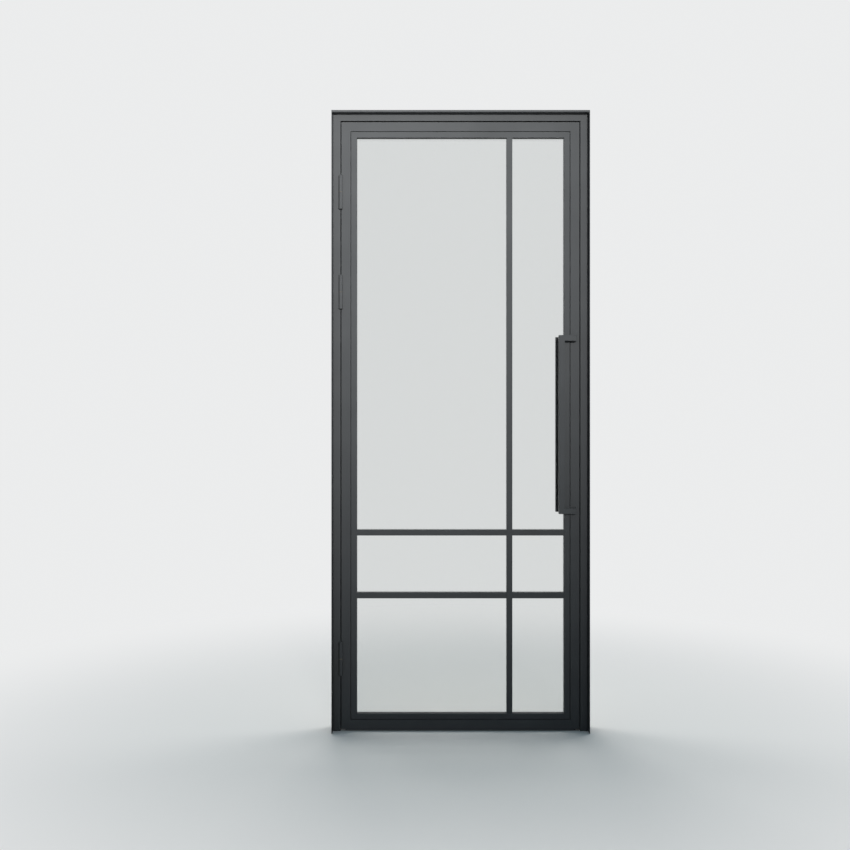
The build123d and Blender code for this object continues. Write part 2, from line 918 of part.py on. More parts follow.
def handle_path(facing, trim):
    """The middle line of a handle, from foot to foot, with its two ends trimmed back."""
    face = facing * leaf_depth / 2
    grip_y = face + facing * (handle_projection - handle_section / 2)
    low, high = bolt_heights
    bar_x = handle_x - handle_offset
    with BuildLine() as path:
        Polyline(
            (handle_x, face + facing * trim, high),
            (handle_x, grip_y, high),
            (bar_x, grip_y, high),
            (bar_x, grip_y, low),
            (handle_x, grip_y, low),
            (handle_x, face + facing * trim, low),
        )
    return path.line


# The two pull handles are square tube, mitred at four corners, bolted back to back.
for name, facing in (("front_handle", -1), ("rear_handle", 1)):
    with BuildPart() as handle:
        foot_plane = Plane(
            origin=(handle_x, facing * leaf_depth / 2, bolt_heights[1]),
            x_dir=(1, 0, 0),
            z_dir=(0, facing, 0),
        )
        with BuildSketch(foot_plane) as square:
            RectangleRounded(handle_section, handle_section, handle_corner_radius)
        sweep(square.sketch, path=handle_path(facing, 0), transition=Transition.RIGHT)
        hollow_plane = Plane(
            origin=foot_plane.origin + Vector(0, facing * handle_plug, 0),
            x_dir=(1, 0, 0),
            z_dir=(0, facing, 0),
        )
        with BuildSketch(hollow_plane) as hollow:
            Rectangle(handle_section - 2 * handle_wall, handle_section - 2 * handle_wall)
        sweep(
            hollow.sketch,
            path=handle_path(facing, handle_plug),
            transition=Transition.RIGHT,
            mode=Mode.SUBTRACT,
        )
        with Locations(
            *[
                Plane(
                    origin=(handle_x, facing * leaf_depth / 2, height),
                    x_dir=(1, 0, 0),
                    z_dir=(0, -facing, 0),
                )
                for height in bolt_heights
            ]
        ):
            Hole(handle_bolt_radius + screw_clearance / 2, depth=handle_bolt_depth)
    finish(handle, name)

with BuildPart() as handle_bolts:
    for height in bolt_heights:
        with BuildSketch(Plane.XZ.offset(rear_y + handle_bolt_depth)) as bolt:
            with Locations((handle_x, height)):
                Circle(handle_bolt_radius)
        extrude(bolt.sketch, amount=-(leaf_depth + 2 * handle_bolt_depth))
finish(handle_bolts, "handle_bolts")

with BuildPart() as handle_sleeves:
    sleeve_length = leaf_depth - 2 * leaf_wall
    for height in bolt_heights:
        with BuildSketch(Plane.XZ.offset(sleeve_length / 2)) as sleeve:
            with Locations((handle_x, height)):
                Circle(sleeve_radius)
                Circle(handle_bolt_radius + bolt_clearance, mode=Mode.SUBTRACT)
        extrude(sleeve.sketch, amount=-sleeve_length)
finish(handle_sleeves, "handle_sleeves")

# The magnetic catch: a flanged magnet in the jamb and a flanged keeper in the stile.
for name, face_x, side, depth in (
    ("catch_magnet", jamb_half, 1, magnet_depth),
    ("catch_keeper", leaf_right, -1, keeper_depth),
):
    with BuildPart() as catch:
        seat = Plane(origin=(face_x, 0, catch_height), x_dir=(0, 1, 0), z_dir=(side, 0, 0))
        with BuildSketch(seat):
            Circle(catch_radius)
        extrude(amount=depth)
        with BuildSketch(seat):
            Circle(catch_flange_radius)
        extrude(amount=-catch_flange)
    finish(catch, name)
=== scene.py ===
# %% [markdown]
# # A slim metal-framed glass door
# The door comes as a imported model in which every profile, bead, hinge and handle already
# has its true shape and place. This lesson gives it a camera, a studio and its finishes,
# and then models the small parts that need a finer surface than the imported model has.

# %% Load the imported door
import json
import math

import bpy
import numpy as np
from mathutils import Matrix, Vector


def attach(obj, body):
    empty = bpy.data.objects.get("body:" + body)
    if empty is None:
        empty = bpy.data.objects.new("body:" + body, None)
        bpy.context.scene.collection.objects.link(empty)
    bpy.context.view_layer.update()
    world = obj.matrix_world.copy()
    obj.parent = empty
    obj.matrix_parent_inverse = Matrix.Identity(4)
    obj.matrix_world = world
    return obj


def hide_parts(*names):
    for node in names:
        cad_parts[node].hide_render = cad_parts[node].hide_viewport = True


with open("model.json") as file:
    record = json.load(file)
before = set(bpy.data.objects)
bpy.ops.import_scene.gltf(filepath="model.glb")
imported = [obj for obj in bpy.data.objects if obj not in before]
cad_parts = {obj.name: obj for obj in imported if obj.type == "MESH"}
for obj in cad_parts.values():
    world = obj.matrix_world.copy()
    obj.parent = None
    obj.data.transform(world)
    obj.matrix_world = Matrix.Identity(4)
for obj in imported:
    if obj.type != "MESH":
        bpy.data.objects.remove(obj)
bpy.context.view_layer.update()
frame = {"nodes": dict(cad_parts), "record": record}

# %% [markdown]
# ## The camera
# A picture in which every upright stays upright was taken with a level camera. Its height
# and distance follow from perspective: the level lines of the door meet at the height of
# the lens, and a known width shrinks with distance. Half of the sensor's width over the
# focal length is the tangent of half the view, so the focal length follows from the number
# of pixels that one metre takes up at one metre's distance. The lens shift moves the
# picture by a few pixels without turning the camera. A new camera looks straight down, and
# a quarter turn about x makes it level.

# %% Place the camera
IMAGE_PIXELS = 850
SENSOR_MM = 36.0
PIXELS_PER_METRE_AT_ONE_METRE = 1012.0
CAMERA_PLACE = (-0.120, -3.547, 1.083)
VANISHING_POINT = (426.0, 420.5)


def add_to_scene(name, data):
    """An object that shows a mesh, a lamp or a camera, linked into the scene."""
    added = bpy.data.objects.new(name, data)
    bpy.context.scene.collection.objects.link(added)
    return added


camera = add_to_scene("camera", bpy.data.cameras.new("camera"))
camera.location = CAMERA_PLACE
camera.rotation_euler = (math.radians(90), 0, 0)
camera.data.sensor_width = SENSOR_MM
camera.data.lens = PIXELS_PER_METRE_AT_ONE_METRE / IMAGE_PIXELS * SENSOR_MM
camera.data.shift_x = (IMAGE_PIXELS / 2 - VANISHING_POINT[0]) / IMAGE_PIXELS
camera.data.shift_y = (VANISHING_POINT[1] - IMAGE_PIXELS / 2) / IMAGE_PIXELS
bpy.context.scene.camera = camera
bpy.context.scene.view_settings.view_transform = "Standard"
print("camera:", round(camera.data.lens, 2), "mm lens at", CAMERA_PLACE)

# %% [markdown]
# ## Small helpers for node trees
# A material is a tree of nodes joined by links. Writing each node by hand is long, so a few
# helpers add a node, fill its sockets and give back its result. A socket is set to a number
# or colour where that is the same all over the surface, and is linked where it varies.


# %% Nodes and sockets
def set_socket(tree, socket, value):
    """Link a socket to another node's output, or set it to a number or colour."""
    if isinstance(value, bpy.types.NodeSocket):
        tree.links.new(value, socket)
    else:
        socket.default_value = value


def fill_sockets(tree, node, **sockets):
    """Fill a node's sockets by name, with _ written for each space."""
    for name, value in sockets.items():
        set_socket(tree, node.inputs[name.replace("_", " ")], value)


def add_node(tree, kind, settings=None, **sockets):
    """Add a node, set its properties and fill its sockets."""
    node = tree.nodes.new(kind)
    for name, value in (settings or {}).items():
        setattr(node, name, value)
    fill_sockets(tree, node, **sockets)
    return node


print("a tree is built from nodes such as", bpy.types.ShaderNodeMath.bl_rna.name)

# %% [markdown]
# Every mixing node blends from its first value to its second by an amount from 0 to 1. The
# colour mixer has sockets for each kind of value, so its colours are found by number.

# %% Blend, calculate, texture
MIX_AMOUNT, MIX_FIRST, MIX_SECOND, MIX_RESULT = 0, 6, 7, 2


def mix_colours(tree, amount, first, second):
    """Blend two colours by an amount from 0 to 1."""
    node = add_node(tree, "ShaderNodeMix", {"data_type": "RGBA"})
    for number, value in ((MIX_AMOUNT, amount), (MIX_FIRST, first), (MIX_SECOND, second)):
        set_socket(tree, node.inputs[number], value)
    return node.outputs[MIX_RESULT]


def mix_shaders(tree, amount, first, second):
    """Blend two shaders by an amount from 0 to 1."""
    node = tree.nodes.new("ShaderNodeMixShader")
    for socket, value in zip(node.inputs, (amount, first, second)):
        tree.links.new(value, socket)
    return node.outputs[0]


def calculate(tree, operation, *values):
    """One step of arithmetic."""
    node = add_node(tree, "ShaderNodeMath", {"operation": operation})
    for socket, value in zip(node.inputs, values):
        set_socket(tree, socket, value)
    return node.outputs[0]


def scale_between(tree, value, low, high):
    """Carry a mask from 0..1 on to low..high."""
    return add_node(tree, "ShaderNodeMapRange", Value=value, To_Min=low, To_Max=high).outputs[0]


def noise(tree, vector, scale, detail, **sockets):
    """Cloudy noise from 0 to 1, with grains of about 1 / scale metres."""
    return add_node(
        tree, "ShaderNodeTexNoise", Vector=vector, Scale=scale, Detail=detail, **sockets
    ).outputs["Fac"]


def bump(tree, height, depth, strength=1.0):
    """A normal that follows a height from 0 to 1, where 1 stands depth metres above 0."""
    return add_node(
        tree, "ShaderNodeBump", Strength=strength, Distance=depth, Height=height
    ).outputs[0]


print("the colour mixer's sockets:", MIX_AMOUNT, MIX_FIRST, MIX_SECOND, "to", MIX_RESULT)


# %% A new material
def new_material(name):
    """A material with a Principled shader on its output, and its object coordinates."""
    material = bpy.data.materials.new(name)
    material.use_nodes = True
    tree = material.node_tree
    tree.nodes.clear()
    shader = tree.nodes.new("ShaderNodeBsdfPrincipled")
    add_node(tree, "ShaderNodeOutputMaterial", Surface=shader.outputs[0])
    place = tree.nodes.new("ShaderNodeTexCoord").outputs["Object"]
    return material, tree, shader, place


def show_shader(tree, result):
    """Put a result on a material's output, in place of the plain shader."""
    tree.links.new(result, tree.nodes["Material Output"].inputs["Surface"])


print("materials so far:", len(bpy.data.materials))

# %% [markdown]
# ## A studio without corners
# The door stands on a pale floor that has to end somewhere. A floor that is mixed into the
# colour of the surroundings with distance has no visible edge, and works from every side.
# Only the rays that look at the floor see that mix. Rays that gather light see a darker
# floor, so the pale background adds little light to the door. The floor keeps its shadow.

# %% The surroundings
BACKGROUND = (0.835, 0.842, 0.845, 1)
FILL = (0.62, 0.87, 1.0, 1)
FILL_STRENGTH = 0.32


def looking_rays(tree):
    """1 for the rays that see a background: from the camera, off gloss or through glass."""
    path = tree.nodes.new("ShaderNodeLightPath").outputs
    seen = calculate(tree, "MAXIMUM", path["Is Camera Ray"], path["Is Glossy Ray"])
    return calculate(tree, "MAXIMUM", seen, path["Is Transmission Ray"])


world = bpy.data.worlds.new("studio")
bpy.context.scene.world = world
world.use_nodes = True
air = world.node_tree
air.nodes.clear()
fill_light = add_node(air, "ShaderNodeBackground", Color=FILL, Strength=FILL_STRENGTH)
pale_wall = add_node(air, "ShaderNodeBackground", Color=BACKGROUND, Strength=1.0)
seen_or_felt = mix_shaders(air, looking_rays(air), fill_light.outputs[0], pale_wall.outputs[0])
add_node(air, "ShaderNodeOutputWorld", Surface=seen_or_felt)
print("surroundings: fill at strength", FILL_STRENGTH)

# %% The floor
FLOOR_SIDE = 60.0
FLOOR_SEEN = (0.72, 0.72, 0.72, 1)
FLOOR_FELT = (0.20, 0.20, 0.20, 1)
FADE_START, FADE_END = 0.3, 2.4

floor_mesh = bpy.data.meshes.new("floor")
square = np.array([(-1, -1, 0), (1, -1, 0), (1, 1, 0), (-1, 1, 0)]) * FLOOR_SIDE / 2
floor_mesh.from_pydata(square, [], [(0, 1, 2, 3)])
floor = add_to_scene("floor", floor_mesh)

floor_material, tree, shader, place = new_material("studio_floor")
looking = looking_rays(tree)
fill_sockets(
    tree, shader, Base_Color=mix_colours(tree, looking, FLOOR_FELT, FLOOR_SEEN),
    Roughness=0.8, Specular_IOR_Level=0.15,
)
distance = add_node(tree, "ShaderNodeVectorMath", {"operation": "LENGTH"}, Vector=place)
fade = add_node(
    tree, "ShaderNodeMapRange", {"interpolation_type": "SMOOTHSTEP"},
    Value=distance.outputs["Value"], From_Min=FADE_START, From_Max=FADE_END,
).outputs[0]
glow = add_node(tree, "ShaderNodeEmission", Color=BACKGROUND, Strength=1.0)
faded = calculate(tree, "MULTIPLY", fade, looking)
show_shader(tree, mix_shaders(tree, faded, shader.outputs[0], glow.outputs[0]))
floor_mesh.materials.append(floor_material)
print("floor:", FLOOR_SIDE, "m square, fading from", FADE_START, "to", FADE_END, "m")

# %% [markdown]
# ## Soft light that falls off towards the floor
# Indoors a door is lit from the upper part of the room in front of it, so its dark coat is
# lightest at the head and darkens towards the floor. A lamp as high as the head and with
# a narrow spread gives that fall-off, because its light weakens with the angle from its
# axis. It stands far off, so its rays are nearly level. The handle's arms then cast hardly
# a shadow, and their upper and lower sides stay dark lines. It is to the right and turned
# to the hinge side, which is the lighter one. A mirror image of that lamp would stand in
# the pane, so only dull surfaces see it, as through a polarising filter. The back has a
# weaker lamp, nearer by. A third one, overhead and behind the leaf, lights the floor but
# leaves the upward faces of the front handle dark. It is outside the pane's mirror image,
# so it may glint on metal.

# %% Lamps
WARM_WHITE = (1.0, 0.955, 0.90)


def soft_lamp(name, place, target, size, power, spread=180, glints=True):
    """A rectangular lamp at a place, turned towards a target. Its spread is in degrees."""
    lamp = bpy.data.lights.new(name, "AREA")
    lamp.shape = "RECTANGLE"
    lamp.size, lamp.size_y = size
    lamp.energy = power
    lamp.color = WARM_WHITE
    lamp.spread = math.radians(spread)
    holder = add_to_scene(name, lamp)
    holder.location = place
    aim = Vector(target) - Vector(place)
    holder.rotation_euler = aim.to_track_quat("-Z", "Y").to_euler()
    holder.visible_camera = False
    holder.visible_transmission = False
    holder.visible_glossy = glints
    print("lamp:", name, power, "W, from", round(aim.length, 1), "m away")


soft_lamp(
    "front_lamp", place=(1.10, -8.0, 2.35), target=(-0.56, 0.0, 2.45), size=(1.6, 0.8),
    power=77, spread=34, glints=False,
)
soft_lamp(
    "back_lamp", place=(-0.35, 3.2, 2.35), target=(0.25, 0.0, 2.2), size=(1.6, 0.8),
    power=30, spread=90, glints=False,
)
soft_lamp(
    "overhead_lamp", place=(0.0, 0.8, 4.2), target=(0.0, 0.3, 0.0), size=(3.2, 1.0), power=110,
)

# %% [markdown]
# ## Two effects that finishes share
# Powder coat melts into a skin with a faint orange peel, and its tone clouds slightly.
# Drawn, rolled and turned metal has fine lines in one direction. Both look the same on
# many parts, so each is a node group that is built once and placed in a material with its
# own values. A group only gives out what varies over the surface: a colour, a roughness
# and a height for a bump. Both groups read coordinates in metres, and noise lies round one
# half, so half is taken off before noise lightens or darkens a tone.

# %% The frame of a group
NOISE_MIDDLE = 0.5
EFFECT_OUTPUTS = (
    ("Color", "NodeSocketColor"),
    ("Roughness", "NodeSocketFloat"),
    ("Height", "NodeSocketFloat"),
)


def new_effect(name, inputs):
    """A shader group with named inputs and a finish's outputs, and its inputs' sockets."""
    group = bpy.data.node_groups.new(name, "ShaderNodeTree")
    for label, kind, value in inputs:
        socket = group.interface.new_socket(label, in_out="INPUT", socket_type=kind)
        socket.default_value = value
    for label, kind in EFFECT_OUTPUTS:
        group.interface.new_socket(label, in_out="OUTPUT", socket_type=kind)
    return group, group.nodes.new("NodeGroupInput").outputs


def close_effect(group, entry, broad, fine, fine_share, contrast, relief, swing):
    """Join two noises into a tone, one relief into roughness and height, and link them.

    With the noises' sum s = broad + share * fine, whose middle is m, the colour is
    tone * (1 + contrast * (s - m)) and the roughness is roughness + swing * (relief - 1/2).
    """
    noises = calculate(group, "MULTIPLY_ADD", fine, fine_share, broad)
    centred = calculate(group, "SUBTRACT", noises, NOISE_MIDDLE * (1 + fine_share))
    lift = calculate(group, "MULTIPLY_ADD", centred, contrast, 1.0)
    tinted = add_node(
        group, "ShaderNodeVectorMath", {"operation": "SCALE"}, Vector=entry["Tone"], Scale=lift
    )
    uneven = calculate(group, "SUBTRACT", relief, NOISE_MIDDLE)
    satin = calculate(group, "MULTIPLY_ADD", uneven, swing, entry["Roughness"])
    add_node(group, "NodeGroupOutput", Color=tinted.outputs[0], Roughness=satin, Height=relief)
    print("effect:", group.name, "with", len(group.nodes), "nodes")


# %% Orange peel for coats and moulded skins
CLOUD_SCALE, SPECK_SCALE, SPECK_SHARE, PEEL_SWING = 7.0, 1300.0, 1.6, 0.16

peel_group, entry = new_effect(
    "orange_peel",
    (
        ("Vector", "NodeSocketVector", (0.0, 0.0, 0.0)),
        ("Tone", "NodeSocketColor", (0.05, 0.05, 0.05, 1)),
        ("Cloud", "NodeSocketFloat", 0.1),
        ("Roughness", "NodeSocketFloat", 0.45),
        ("Peel Scale", "NodeSocketFloat", 900.0),
    ),
)
clouds = noise(peel_group, entry["Vector"], CLOUD_SCALE, detail=4.0)
specks = noise(peel_group, entry["Vector"], SPECK_SCALE, detail=2.0)
peel = noise(peel_group, entry["Vector"], entry["Peel Scale"], detail=2.0)
close_effect(peel_group, entry, clouds, specks, SPECK_SHARE, entry["Cloud"], peel, PEEL_SWING)

# %% Fine lines for drawn, rolled and turned metal
STAIN_SCALE, STAIN_SHARE, LINE_SWING = 45.0, 0.5, 0.25

lines_group, entry = new_effect(
    "fine_lines",
    (
        ("Vector", "NodeSocketVector", (0.0, 0.0, 0.0)),
        ("Stretch", "NodeSocketVector", (1.0, 1.0, 1.0)),
        ("Tone", "NodeSocketColor", (0.5, 0.5, 0.5, 1)),
        ("Contrast", "NodeSocketFloat", 0.2),
        ("Roughness", "NodeSocketFloat", 0.35),
    ),
)
stretching = add_node(lines_group, "ShaderNodeVectorMath", {"operation": "MULTIPLY"})
for socket, name in zip(stretching.inputs, ("Vector", "Stretch")):
    lines_group.links.new(entry[name], socket)
lines = noise(lines_group, stretching.outputs[0], 1.0, detail=5.0, Roughness=0.65)
stains = noise(lines_group, entry["Vector"], STAIN_SCALE, detail=3.0)
close_effect(
    lines_group, entry, lines, stains, STAIN_SHARE, entry["Contrast"], lines, LINE_SWING
)

# %% [markdown]
# ## The finishes
# Each finish is a short function of its own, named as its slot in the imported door. Values
# that are the same all over a surface are set on the Principled shader. The coat is a dark
# grey with a hint of blue, matt enough to grade softly down the door. It hides the metal,
# so it isn't metallic. Grain and peel finer than a millimetre only show close by.

# %% Painted profiles
finishes = {}


def keep_finish(make):
    """Make a finish and keep it under its function's name."""
    finishes[make.__name__] = make()
    print("finish:", make.__name__)


def place_effect(tree, group, place, shader, depth, **values):
    """Put an effect in a material and feed the shader's colour, roughness and normal."""
    node = tree.nodes.new("ShaderNodeGroup")
    node.node_tree = group
    fill_sockets(tree, node, Vector=place, **values)
    color, roughness, height = node.outputs
    normal = bump(tree, height, depth)
    fill_sockets(tree, shader, Base_Color=color, Roughness=roughness, Normal=normal)


def powder_coat():
    """Satin anthracite powder coat with a fine grain, faint clouds and orange peel."""
    material, tree, shader, place = new_material("powder_coat")
    fill_sockets(tree, shader, Specular_IOR_Level=0.14)
    place_effect(
        tree, peel_group, place, shader, depth=0.00006,
        Tone=(0.047, 0.0505, 0.0545, 1), Cloud=0.3, Roughness=0.46, Peel_Scale=700.0,
    )
    return material


keep_finish(powder_coat)

# %% [markdown]
# Glass is a solid with two faces, each of which bends and mirrors a little light. Its
# colour is what is left of white light after the whole thickness. A shader for clear glass
# stops lamp light, which would darken the floor behind the pane, so the rays that look for
# shadows pass it by. Wipe marks and the slight waviness of float glass only show in
# reflections.

# %% The pane
GLASS_TINT = (0.80, 0.815, 0.81, 1)
GLASS_SHADOW = (0.70, 0.71, 0.71, 1)


def clear_glass():
    """Clear float glass with faint wipe marks and waviness, which lets lamp light through."""
    material, tree, shader, place = new_material("clear_glass")
    waves = noise(tree, place, 2.2, detail=1.0)
    wipes = noise(tree, place, 9.0, detail=6.0, Distortion=1.5)
    fill_sockets(
        tree, shader, Base_Color=GLASS_TINT, IOR=1.5, Specular_IOR_Level=0.16,
        Transmission_Weight=1.0, Roughness=scale_between(tree, wipes, 0.0, 0.02),
        Normal=bump(tree, waves, 0.00004),
    )
    passing = add_node(tree, "ShaderNodeBsdfTransparent", Color=GLASS_SHADOW)
    for_shadows = tree.nodes.new("ShaderNodeLightPath").outputs["Is Shadow Ray"]
    show_shader(tree, mix_shaders(tree, for_shadows, shader.outputs[0], passing.outputs[0]))
    return material


keep_finish(clear_glass)

# %% [markdown]
# Rubber seals and glazing tape are black and dull. Extruded rubber carries fine lines
# along its length, and foam tape has open cells. The blocks under the glass are moulded
# plastic, whose skin is as grainy as the spark-eroded mould that it comes from.


# %% Rubber, tape and plastic
def seal_rubber():
    """Black extruded rubber with lines along its length and a grey bloom."""
    material, tree, shader, place = new_material("seal_rubber")
    fill_sockets(tree, shader, Specular_IOR_Level=0.3)
    place_effect(
        tree, lines_group, place, shader, depth=0.00003,
        Stretch=(1600.0, 1600.0, 9.0), Tone=(0.020, 0.020, 0.021, 1),
        Contrast=0.5, Roughness=0.62,
    )
    return material


def glazing_tape():
    """Black foam tape with open cells."""
    material, tree, shader, place = new_material("glazing_tape")
    cells = add_node(tree, "ShaderNodeTexVoronoi", Vector=place, Scale=1400.0).outputs["Distance"]
    fill_sockets(
        tree, shader, Specular_IOR_Level=0.2,
        Base_Color=mix_colours(tree, cells, (0.012, 0.012, 0.012, 1), (0.035, 0.035, 0.036, 1)),
        Roughness=scale_between(tree, cells, 0.75, 0.95),
        Normal=bump(tree, cells, 0.0002, strength=0.6),
    )
    return material


def block_plastic():
    """Moulded black plastic with a spark-eroded grain."""
    material, tree, shader, place = new_material("block_plastic")
    fill_sockets(tree, shader, Specular_IOR_Level=0.45)
    place_effect(
        tree, peel_group, place, shader, depth=0.00004,
        Tone=(0.035, 0.036, 0.038, 1), Cloud=0.3, Roughness=0.55, Peel_Scale=2200.0,
    )
    return material


for make in (seal_rubber, glazing_tape, block_plastic):
    keep_finish(make)

# %% [markdown]
# The bare metals differ by colour and by how they were made. Pins and screws are turned,
# so their lines run round them and are short along the axis. Zinc plate is cloudy, brass
# is warm, and mill-finish aluminium has long lines from the die. All of them are one
# function with other values: the larger a direction's stretch, the finer its lines.


# %% Bare metals
def bare_metal(name, tone, roughness, stretch, contrast, depth):
    """A metallic finish with fine lines, whose stretch sets their direction and pitch."""
    material, tree, shader, place = new_material(name)
    fill_sockets(tree, shader, Metallic=1.0)
    place_effect(
        tree, lines_group, place, shader, depth,
        Stretch=stretch, Tone=tone, Contrast=contrast, Roughness=roughness,
    )
    return material


def washer_brass():
    """Turned brass, slightly darkened."""
    return bare_metal(
        "washer_brass", tone=(0.26, 0.21, 0.13, 1), roughness=0.36,
        stretch=(300.0, 300.0, 5200.0), contrast=0.35, depth=0.00001,
    )


def bright_steel():
    """Turned bright steel."""
    return bare_metal(
        "bright_steel", tone=(0.56, 0.57, 0.58, 1), roughness=0.28,
        stretch=(4200.0, 500.0, 500.0), contrast=0.3, depth=0.000008,
    )


def zinc_steel():
    """Zinc-plated steel with a cloudy, faintly blue passivation."""
    return bare_metal(
        "zinc_steel", tone=(0.52, 0.55, 0.58, 1), roughness=0.38,
        stretch=(420.0, 420.0, 420.0), contrast=0.6, depth=0.00002,
    )


def catch_steel():
    """Nickel-plated steel."""
    return bare_metal(
        "catch_steel", tone=(0.58, 0.56, 0.53, 1), roughness=0.24,
        stretch=(260.0, 2600.0, 2600.0), contrast=0.25, depth=0.000006,
    )


def cleat_aluminium():
    """Mill-finish aluminium with long lines through its depth."""
    return bare_metal(
        "cleat_aluminium", tone=(0.72, 0.73, 0.74, 1), roughness=0.36,
        stretch=(1500.0, 25.0, 1500.0), contrast=0.3, depth=0.00001,
    )


for make in (washer_brass, bright_steel, zinc_steel, catch_steel, cleat_aluminium):
    keep_finish(make)

# %% [markdown]
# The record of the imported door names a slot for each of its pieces, so one loop dresses
# them all. The pieces share their finishes: a change to the coat shows on every profile.

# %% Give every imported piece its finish
packed_parts = frame["record"]["subparts"]
for part in packed_parts:
    piece = frame["nodes"][part["node"]]
    piece.data.materials.clear()
    piece.data.materials.append(finishes[part["material_slot"]])
print("dressed:", len(packed_parts), "packed pieces in", len(finishes), "finishes")

# %% [markdown]
# ## Surfaces from arrays
# The remaining parts are small and round, and they are seen when the door stands open: the
# seal that the leaf closes on, the screws in the hinge wings and under the leaf, the two
# discs of the catch and the washers between the knuckles. Each is a surface over two
# parameters. One runs round a section or round an axis, and the other runs along the part.
# Numpy works out all points at once, and the faces join each point with its neighbours in
# the grid. Edges sharper than a limit stay crisp, and the rest is shaded smoothly.

# %% Turn a grid of points into a piece
SHARP_ANGLE = math.radians(35)


def grid_faces(rows, columns, close_rows, close_columns):
    """Four-sided faces between neighbouring points of a grid, closed round where asked."""
    row = np.arange(rows if close_rows else rows - 1)[:, None]
    column = np.arange(columns if close_columns else columns - 1)[None, :]
    next_row, next_column = (row + 1) % rows, (column + 1) % columns
    corners = (
        row * columns + column,
        row * columns + next_column,
        next_row * columns + next_column,
        next_row * columns + column,
    )
    return np.stack(np.broadcast_arrays(*corners), axis=-1).reshape(-1, 4)


def make_piece(name, points, faces, body, slot_name, replaced):
    """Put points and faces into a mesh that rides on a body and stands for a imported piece."""
    mesh = bpy.data.meshes.new(name)
    mesh.from_pydata(points, [], faces)
    mesh.materials.append(finishes[slot_name])
    mesh.polygons.foreach_set("use_smooth", np.ones(len(faces), dtype=bool))
    mesh.set_sharp_from_angle(angle=SHARP_ANGLE)
    piece = add_to_scene(name, mesh)
    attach(piece, body)
    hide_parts(replaced)
    print(name + ":", len(points), "points,", len(faces), "faces")


print("a grid of 3 by 4 points has", len(grid_faces(3, 4, False, False)), "faces")

# %% [markdown]
# ## The seal
# A door seal is extruded rubber with a root that is pushed into a groove and a hollow bulb
# that the leaf squashes. Fine ribs along the bulb keep it from sticking to the paint. It
# could be drawn as a curve with a bevel, but then the ends couldn't be mitred. Carrying
# one closed section from end to end and leaning the end rings gives the mitre directly.

# %% Seal sizes
SEAL_INSET, SEAL_FACE = 0.005, 0.023
BULB_RADIUS, BORE_RADIUS = 0.0026, 0.0014
RIB_COUNT, RIB_HEIGHT = 9, 0.00012
ROOT_NECK, ROOT_HALF_WIDTH, ROOT_DEPTH = 0.0015, 0.0019, 0.0029
OPENING_HALF, HEAD_UNDERSIDE = 0.418, 2.127
INWARDS = np.array((0.0, 1.0, 0.0))
BULB_POINTS = 55
ROOT_OUTLINE = np.array(
    [
        (ROOT_NECK, 0.0),
        (ROOT_NECK, 0.0006),
        (ROOT_HALF_WIDTH, 0.0013),
        (ROOT_NECK, 0.0015),
        (ROOT_NECK, 0.0019),
        (ROOT_HALF_WIDTH, 0.0025),
        (ROOT_NECK, ROOT_DEPTH),
    ]
)
print("seal bulb:", round(2000 * BULB_RADIUS, 1), "mm wide with", RIB_COUNT, "ribs")


# %% Seal section
def seal_loops():
    """The outer and inner outline of the seal, point for point.

    The bulb is the front half of a circle whose radius shrinks and swells as a cosine of
    the angle, which makes the ribs. The root behind it has two barbs on each side, and its
    second side mirrors the first. The bore is a circle with as many points.
    """
    front = np.linspace(np.pi, 2 * np.pi, BULB_POINTS)
    ribs = BULB_RADIUS - RIB_HEIGHT * (0.5 - 0.5 * np.cos(2 * RIB_COUNT * front))
    bulb = ribs[:, None] * np.stack([np.cos(front), np.sin(front)], axis=1)
    outer = np.concatenate([bulb, ROOT_OUTLINE, ROOT_OUTLINE[::-1] * (-1, 1)])
    rear = np.linspace(0, np.pi, 2 * len(ROOT_OUTLINE) + 2)[1:-1]
    turn = np.concatenate([front, rear])
    inner = BORE_RADIUS * np.stack([np.cos(turn), np.sin(turn)], axis=1)
    return outer, inner


seal_outer, seal_inner = seal_loops()
print("seal section:", len(seal_outer), "points outside and", len(seal_inner), "in the bore")


# %% Seal lengths
def seal_length(name, corner, outward, along, length, lean_start, lean_end, replaced):
    """Carry the section along a side of the frame, as a wall closed at both ends.

    A point at a distance u out of the opening, v into the wall and t along the side lies
    at corner + u * outward + v * inwards + t * along. At a mitred end, t leans by u.
    """
    outward, along = np.array(outward, float), np.array(along, float)
    rings = []
    for loop, at_end in ((seal_outer, 0), (seal_outer, 1), (seal_inner, 1), (seal_inner, 0)):
        out = loop[:, 0] - SEAL_INSET
        lean = lean_end if at_end else lean_start
        run = at_end * length + lean * out
        depth = loop[:, 1:] + SEAL_FACE
        sideways = out[:, None] * outward + run[:, None] * along
        rings.append(np.array(corner) + sideways + depth * INWARDS)
    faces = grid_faces(len(rings), len(seal_outer), True, True)
    mirrored = np.dot(np.cross(outward, INWARDS), along) < 0
    if mirrored:
        faces = faces[:, ::-1]
    make_piece(name, np.concatenate(rings), faces, "frame", "seal_rubber", replaced)


for side, sign in (("left", -1), ("right", 1)):
    seal_length(
        "seal_" + side + "_lip", (sign * OPENING_HALF, 0, 0), outward=(sign, 0, 0),
        along=(0, 0, 1), length=HEAD_UNDERSIDE, lean_start=0, lean_end=1,
        replaced="seal_" + side,
    )
seal_length(
    "seal_head_lip", (-OPENING_HALF, 0, HEAD_UNDERSIDE), outward=(0, 0, 1),
    along=(1, 0, 0), length=2 * OPENING_HALF, lean_start=-1, lean_end=1,
    replaced="seal_head",
)

# %% [markdown]
# ## Turned parts
# Screws, discs and washers come off a lathe: an outline turned round an axis. An outline
# here is a list of radius, height and lobe. The lobe lets a ring wave in and out six times
# as it goes round, which is how a six-lobed socket fits the same grid. Each part is worked
# out once, with its axis upright, and its copies are turned and moved to their places.

